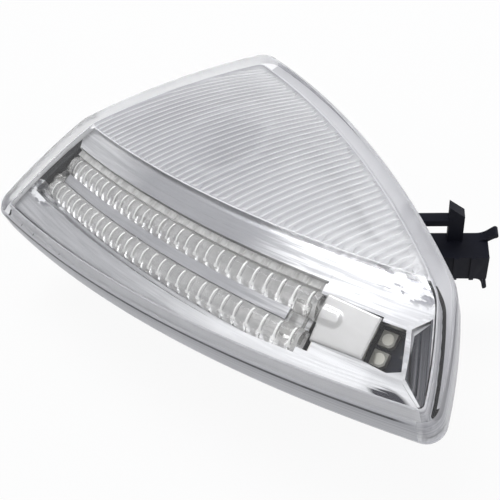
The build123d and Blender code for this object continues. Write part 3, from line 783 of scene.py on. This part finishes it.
def arc_block(mesh, radii, drops, bearings, count, ripple):
    """Curved bar of box section; ripple makes its top lumpy."""
    rings = []
    for k in range(count + 1):
        bearing = math.radians(bearings[0] + (bearings[1] - bearings[0]) * k / count)
        top = drops[0] + ripple * (math.sin(k * 1.7) + 0.6 * math.sin(k * 4.1))
        corners = ((radii[0], top), (radii[1], top), (radii[1], drops[1]), (radii[0], drops[1]))
        rings.append([mesh.verts.new(arc_place(r, d, bearing)) for r, d in corners])
    for a, b in zip(rings, rings[1:]):
        for i in range(4):
            n = (i + 1) % 4
            mesh.faces.new((a[i], b[i], b[n], a[n]))
    mesh.faces.new(rings[0])
    mesh.faces.new(rings[-1][::-1])


def arc_blocks(*blocks):
    """A mesh of several curved bars."""
    mesh = bmesh.new()
    for block in blocks:
        arc_block(mesh, *block)
    return mesh


def guide_ends():
    """Closing faces of the bars, the webs at both ends, and lumps over the left one."""
    mesh = bmesh.new()
    for bearing, flip in ((BAR_START, 1), (BAR_END, -1)):
        for radius in GUIDE_RADII:
            profile = bar_profile(0, 0)
            ring = [mesh.verts.new(arc_place(radius + t, drop, bearing)) for t, drop in profile]
            mesh.faces.new(ring[::flip])
    arc_block(mesh, *LEFT_WEB)
    arc_block(mesh, *RIGHT_WEB)
    chance = np.random.default_rng(7)
    for _ in range(LUMPS):
        size = chance.uniform(*LUMP_SIZES) * MM
        lump = bmesh.ops.create_icosphere(mesh, subdivisions=2, radius=size)["verts"]
        r = chance.uniform(*LUMP_RADII)
        bearing = math.radians(chance.uniform(*LUMP_BEARINGS))
        if abs(r - WEB_HOLE_R) < WEB_HOLE_CLEAR:
            r += LUMP_SHIFT
        place = arc_place(r, chance.uniform(*LUMP_DROPS), bearing)
        for vert in lump:
            vert.co = Vector((vert.co.x, vert.co.y, vert.co.z * LUMP_FLATNESS)) + place
    return mesh


pieces = []
for radius, first in zip(GUIDE_RADII, FIRST_NOTCHES):
    count, bearing = 0, first
    while bearing < BAR_END - END_CLEAR:
        count += 1
        bearing += (NOTCH_PITCH + NOTCH_GROWTH * count) / radius
    sizes = {"Count": count, "Radius": radius, "First": first, "Pitch": NOTCH_PITCH,
             "Growth": NOTCH_GROWTH, "Start": BAR_START, "End": BAR_END, "Axis X": AXIS_X,
             "Axis Y": AXIS_Y, "Crease radius": CREASE_R, "Crease height": CREASE_Z,
             "Lean": BAND_LEAN}
    pieces.append(run_tree(new_piece("guide bar", straight_cell()), bent_tree(sizes), sizes, 40))
for name, mesh, paint in (("guide ends", guide_ends(), GUIDE_CLEAR),
                          ("guide flange", arc_blocks(FUZZY_STRIP), GUIDE_HAZY),
                          ("silvered parts", arc_blocks(LEDGE, LAND_STRIP, TONGUE), SILVER)):
    pieces.append(new_piece(name, mesh))
    pieces[-1].data.materials.append(paint)
paints = [GUIDE_CLEAR, GUIDE_PAINTED_HIGHLIGHT, GUIDE_HAZY, SILVER]
joined = bmesh.new()
for piece in pieces:
    first_face = len(joined.faces)
    joined.from_mesh(piece.data)
    joined.faces.ensure_lookup_table()
    for face in joined.faces[first_face:]:
        face.material_index = paints.index(piece.data.materials[face.material_index])
    bpy.data.objects.remove(piece)
bmesh.ops.remove_doubles(joined, verts=joined.verts, dist=1e-5)
bmesh.ops.recalc_face_normals(joined, faces=joined.faces)
bars = new_piece("light_guide_bars", joined)
for paint in paints:
    bars.data.materials.append(paint)
smooth_faces(bars.data, 40)
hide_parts("light_guide")
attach(bars, "root")

# Cover plate over the board. A brushed satin metal pressing with a rounded half-pill dimple, whose
# right edge lines the window of the side LEDs.
PLATE_CORNERS = [(48.92, -17.91), (51.32, -30.11), (66.02, -27.81), (65.0, -17.0)]
PLATE_DROP, PLATE_THICK, PLATE_ROUND, PLATE_CELLS = 4.6, 0.8, 0.25, (72, 48)
# The dimple in shares of the plate: where its round nose ends and how long that is, its middle
# line and half width, its rise in millimetres, and the share of its half width that slopes.
DIMPLE_END, DIMPLE_NOSE, DIMPLE_MIDDLE = 0.44, 0.15, 0.56
DIMPLE_HALF, DIMPLE_RISE, DIMPLE_SLOPE = 0.215, 0.5, 0.6


def plate_point(u, v):
    """Plan point of the plate: u runs to the right and v toward the crease."""
    a, b, c, d = [np.array(corner) for corner in PLATE_CORNERS]
    return (b * (1 - u) + c * u) * (1 - v) + (a * (1 - u) + d * u) * v


def dimple(u, v):
    """Height of the half pill pressed up from the left edge."""
    past = max(0.0, u - (DIMPLE_END - DIMPLE_NOSE)) / DIMPLE_NOSE
    aside = (v - DIMPLE_MIDDLE) / DIMPLE_HALF
    side = min(1.0, max(0.0, (1 - math.hypot(past, aside)) / DIMPLE_SLOPE))
    return DIMPLE_RISE * side * side * (3 - 2 * side)


def plate_mesh():
    """A grid with rolled edges, walls round its border and a flat underside."""
    mesh = bmesh.new()
    columns, rows = PLATE_CELLS
    grid = {}
    for i in range(columns + 1):
        for j in range(rows + 1):
            u, v = i / columns, j / rows
            x, y = plate_point(u, v)
            edge = min(i, columns - i, j, rows - j)
            sink = PLATE_ROUND * (1.0, 0.3, 0.0)[min(edge, 2)]
            level = lens_level(math.hypot(x - AXIS_X, AXIS_Y - y)) - PLATE_DROP + PLATE_THICK
            grid[i, j] = mesh.verts.new((x * MM, y * MM, (level + dimple(u, v) - sink) * MM))
    for i in range(columns):
        for j in range(rows):
            mesh.faces.new((grid[i, j], grid[i + 1, j], grid[i + 1, j + 1], grid[i, j + 1]))
    border = [grid[i, 0] for i in range(columns)] + [grid[columns, j] for j in range(rows)]
    border += [grid[i, rows] for i in range(columns, 0, -1)]
    border += [grid[0, j] for j in range(rows, 0, -1)]
    under = [mesh.verts.new(v.co - Vector((0, 0, PLATE_THICK * MM))) for v in border]
    for k in range(len(border)):
        n = (k + 1) % len(border)
        mesh.faces.new((border[n], border[k], under[k], under[n]))
    mesh.faces.new(under[::-1])
    return mesh


plate = new_piece("cover_plate", plate_mesh())
smooth_faces(plate.data, 50)
made, graph = material("satin plate")
brushed = graph.noise(26.0, 4.0, (1, 14, 1))
tone = graph.mix(brushed, (0.46, 0.455, 0.45), (0.57, 0.565, 0.56))
surface(graph, principled(graph, Base_Color=tone, Metallic=1.0, Roughness=brushed * 0.12 + 0.32,
                          Normal=graph.bump(brushed, 0.15, 0.0001)))
plate.data.materials.append(made)
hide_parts("led_cover_plate")
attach(plate, "root")

# Board with its solder mask, chips and LEDs. The side LEDs have dark moulded bodies round a pale
# silicone face, lighter and darker in diagonal bands; screws hold the board to posts in the
# housing.
def grained(name, first, second, roughness, scale=300.0, bump=0.1, metallic=0.0, gloss=0.5):
    """Solid material with a mottled colour, uneven gloss and a fine surface grain."""
    made, graph = material(name)
    speck = graph.noise(scale, 4.0)
    cloud = graph.noise(40.0, 2.0)
    tone = graph.mix(cloud * 0.6 + speck * 0.4, first, second)
    surface(graph, principled(graph, Base_Color=tone, Metallic=metallic,
                              Roughness=speck * 0.15 + roughness, Specular_IOR_Level=gloss,
                              Normal=graph.bump(speck, bump, 0.0001)))
    return made


cad["led_board"].data.materials[0] = grained(
    "solder mask", (0.004, 0.005, 0.012), (0.012, 0.013, 0.026), 0.5, gloss=0.15)
for node in ("board_resistors", "driver_chip"):
    cad[node].data.materials[0] = grained(
        "moulded chip", (0.02, 0.02, 0.022), (0.05, 0.05, 0.052), 0.45)
cad["side_leds"].data.materials[0] = grained(
    "led body", (0.15, 0.145, 0.13), (0.24, 0.235, 0.21), 0.45, gloss=0.3)
cad["guide_leds"].data.materials[0] = grained(
    "led edge body", (0.55, 0.54, 0.5), (0.7, 0.69, 0.65), 0.4)
made, graph = material("led silicone")
x, y, _ = graph.place()
half = ((x * 0.6 + y * 0.2) * 1.25).math("SINE")
tone = graph.mix((half * 2).limited(0, 1), (0.22, 0.21, 0.18), (0.46, 0.45, 0.40))
surface(graph, principled(graph, Base_Color=tone, Roughness=graph.noise(300.0) * 0.1 + 0.35,
                          Specular_IOR_Level=0.3,
                          Normal=graph.bump(graph.noise(500.0), 0.1, 0.0001)))
cad["led_phosphors"].data.materials[0] = made
cad["board_screws"].data.materials[0] = grained(
    "plated steel", (0.5, 0.5, 0.51), (0.65, 0.65, 0.66), 0.28, metallic=1.0)

# Puddle lamp. A metallised bowl, a wedge bulb with its filament, and a bayonet holder with
# contacts, turned into the port at the back of the housing.
made, graph = material("metallised bowl")
facets = graph.noise(90.0, 2.0)
tone = graph.mix(facets, (0.80, 0.80, 0.82), (0.93, 0.93, 0.94))
surface(graph, principled(graph, Base_Color=tone, Metallic=0.55, Roughness=0.42,
                          Normal=graph.bump(facets, 0.25, 0.0004)))
cad["puddle_reflector"].data.materials[0] = made
cad["puddle_bulb"].data.materials[0] = clear_plastic(
    "bulb glass", (1.0, 1.0, 1.0), 0.02, 0.15, (0.9, 0.9, 0.9), 1.5)
cad["bulb_filament"].data.materials[0] = grained(
    "filament", (0.5, 0.5, 0.5), (0.7, 0.7, 0.68), 0.4, metallic=0.8)
cad["bulb_holder"].data.materials[0] = grained(
    "holder plastic", (0.07, 0.07, 0.075), (0.13, 0.13, 0.135), 0.5)
cad["bulb_contacts"].data.materials[0] = grained(
    "contact brass", (0.62, 0.47, 0.2), (0.78, 0.62, 0.32), 0.25, metallic=1.0)

# Rear housing. One moulding of black plastic with a fine spark-eroded grain; the seals, vent and
# wires sit against it, and brass inserts are pressed into its bosses.
cad["rear_housing"].data.materials[0] = grained(
    "grained black plastic", (0.010, 0.011, 0.016), (0.024, 0.025, 0.033), 0.48, 900.0, 0.35)
cad["lens_seal"].data.materials[0] = grained(
    "cured adhesive", (0.012, 0.012, 0.013), (0.03, 0.03, 0.03), 0.5, 200.0, 0.4)
cad["holder_gasket"].data.materials[0] = grained(
    "gasket rubber", (0.02, 0.02, 0.02), (0.04, 0.04, 0.04), 0.7, 500.0, 0.3)
cad["vent_plug"].data.materials[0] = grained(
    "vent plug", (0.25, 0.25, 0.26), (0.34, 0.34, 0.35), 0.6, 700.0, 0.2)
cad["feed_wires"].data.materials[0] = grained(
    "wire cover", (0.02, 0.02, 0.022), (0.045, 0.045, 0.05), 0.4)
cad["mounting_inserts"].data.materials[0] = grained(
    "insert brass", (0.6, 0.46, 0.2), (0.76, 0.6, 0.3), 0.3, 400.0, 0.3, 1.0)

# Plug connector. A moulded navy-black socket with flared lips and a springy latch, its edges
# broken by the mould, with three square brass pins.
CONNECTOR_EDGE = 0.28

mesh = bmesh.new()
mesh.from_mesh(cad["connector_shroud"].data)
bmesh.ops.remove_doubles(mesh, verts=mesh.verts, dist=1e-6)
bmesh.ops.dissolve_limit(mesh, angle_limit=math.radians(1.0), verts=mesh.verts, edges=mesh.edges)
shroud = new_piece("connector_body", mesh)
bevel = shroud.modifiers.new("broken edges", "BEVEL")
bevel.width, bevel.segments, bevel.limit_method = CONNECTOR_EDGE * MM, 3, "ANGLE"
bevel.angle_limit = math.radians(50)
smooth_faces(shroud.data, 40)
shroud.data.materials.append(grained(
    "connector plastic", (0.002, 0.0025, 0.007), (0.005, 0.006, 0.013), 0.6, 700.0, 0.25,
    gloss=0.25))
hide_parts("connector_shroud")
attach(shroud, "root")
cad["connector_pins"].data.materials[0] = grained(
    "pin brass", (0.62, 0.47, 0.2), (0.8, 0.64, 0.34), 0.22, metallic=1.0)

# Table, room and lamps. A white table, an even white room, a grey card on the left whose reflection
# darkens that end of the silver parts, and two soft lamps.
LAMP_AIM = (0, 0, 0.04)
TABLE_WHITE = 0.93


def seen_directly(graph):
    """1 for a camera, glossy or transmission ray."""
    path = graph.tree.nodes.new("ShaderNodeLightPath")
    rays = [Socket(graph, path.outputs[name])
            for name in ("Is Camera Ray", "Is Glossy Ray", "Is Transmission Ray")]
    return (rays[0] + rays[1] + rays[2]).limited(0, 1)


bpy.ops.mesh.primitive_plane_add(size=6)
floor = bpy.context.object
floor.name = "floor"
paint, graph = material("white table")
paper = graph.add("ShaderNodeBsdfDiffuse", None, {"Color": (0.85, 0.85, 0.86, 1)})
white = graph.add("ShaderNodeEmission", None, {"Color": (1, 1, 1, 1), "Strength": 1.0})
share = seen_directly(graph) * TABLE_WHITE
surface(graph, graph.add("ShaderNodeMixShader", None, {0: share, 1: paper, 2: white}))
floor.data.materials.append(paint)

world = bpy.data.worlds.new("studio")
bpy.context.scene.world = world
world.use_nodes = True
world.node_tree.nodes.clear()
graph = Graph(world.node_tree)
soft = graph.add("ShaderNodeBackground", None, {"Color": (0.80, 0.82, 0.86, 1), "Strength": 0.5})
white = graph.add("ShaderNodeBackground", None, {"Color": (1, 1, 1, 1), "Strength": 1.0})
share = seen_directly(graph)
surface(graph, graph.add("ShaderNodeMixShader", None, {0: share, 1: soft, 2: white}), "World")


def upright_card(name, centre, size, colours):
    """Studio card facing the lamp, graded from its foot to its top, out of the camera's sight."""
    width, height = size
    out = (Vector(LAMP_AIM) - Vector(centre)).normalized()
    side = Vector((0, 0, 1)).cross(out).normalized()
    up = out.cross(side)
    mesh = bmesh.new()
    corners = [Vector(centre) + side * sx * width / 2 + up * sy * height / 2
               for sx, sy in ((-1, -1), (1, -1), (1, 1), (-1, 1))]
    mesh.faces.new([mesh.verts.new(c) for c in corners])
    card = new_piece(name, mesh)
    made, graph = material(name + " paper")
    _, _, z = graph.place()
    low, high = (centre[2] - height / 2) / MM, (centre[2] + height / 2) / MM
    tone = graph.mix(z.ramp(low, high), *colours)
    surface(graph, graph.add("ShaderNodeEmission", None, {"Color": tone, "Strength": 1.0}))
    card.data.materials.append(made)
    card.visible_camera = card.visible_shadow = False
    card.visible_diffuse = card.visible_transmission = False


def softbox(name, place, size, power):
    """Rectangular area lamp aimed at the object; it leaves no mirror image on the lens."""
    data = bpy.data.lights.new(name, "AREA")
    data.shape = "RECTANGLE"
    data.size, data.size_y = size
    data.energy = power
    made = bpy.data.objects.new(name, data)
    made.location = place
    made.rotation_mode = "QUATERNION"
    made.rotation_quaternion = (Vector(LAMP_AIM) - Vector(place)).to_track_quat("-Z", "Y")
    made.visible_glossy = False
    bpy.context.scene.collection.objects.link(made)


upright_card("left card", (-0.85, 0.15, 0.76), (1.8, 0.8), ((0.20, 0.20, 0.22), (0.80, 0.80, 0.82)))
softbox("overhead softbox", (-0.25, 0.25, 0.75), (0.5, 0.4), 3.5)
softbox("right softbox", (0.7, 0.3, 0.35), (0.3, 0.5), 1.5)

# Camera. It looks down on the lamp from its right front corner, about 220 mm away, with the
# place, turn and focal length that give the photograph's perspective.
FOCAL_MM, SENSOR_MM = 50.4, 36.0
CAMERA_PLACE = (0.14032, -0.08161, 0.1851)
CAMERA_RIGHT, CAMERA_BACK = (0.6995, 0.6460, -0.3050), (0.6130, -0.3260, 0.7190)
camera_data = bpy.data.cameras.new("camera")
camera_data.lens, camera_data.sensor_width = FOCAL_MM, SENSOR_MM
camera_data.clip_start, camera_data.clip_end = 0.01, 20
camera = bpy.data.objects.new("camera", camera_data)
bpy.context.scene.collection.objects.link(camera)
right, back = Vector(CAMERA_RIGHT).normalized(), Vector(CAMERA_BACK).normalized()
up = back.cross(right).normalized()
turn = Matrix((up.cross(back), up, back)).transposed().to_4x4()
camera.matrix_world = Matrix.Translation(Vector(CAMERA_PLACE)) @ turn
bpy.context.scene.camera = camera
bpy.context.scene.view_settings.view_transform = "Standard"

bpy.context.view_layer.update()
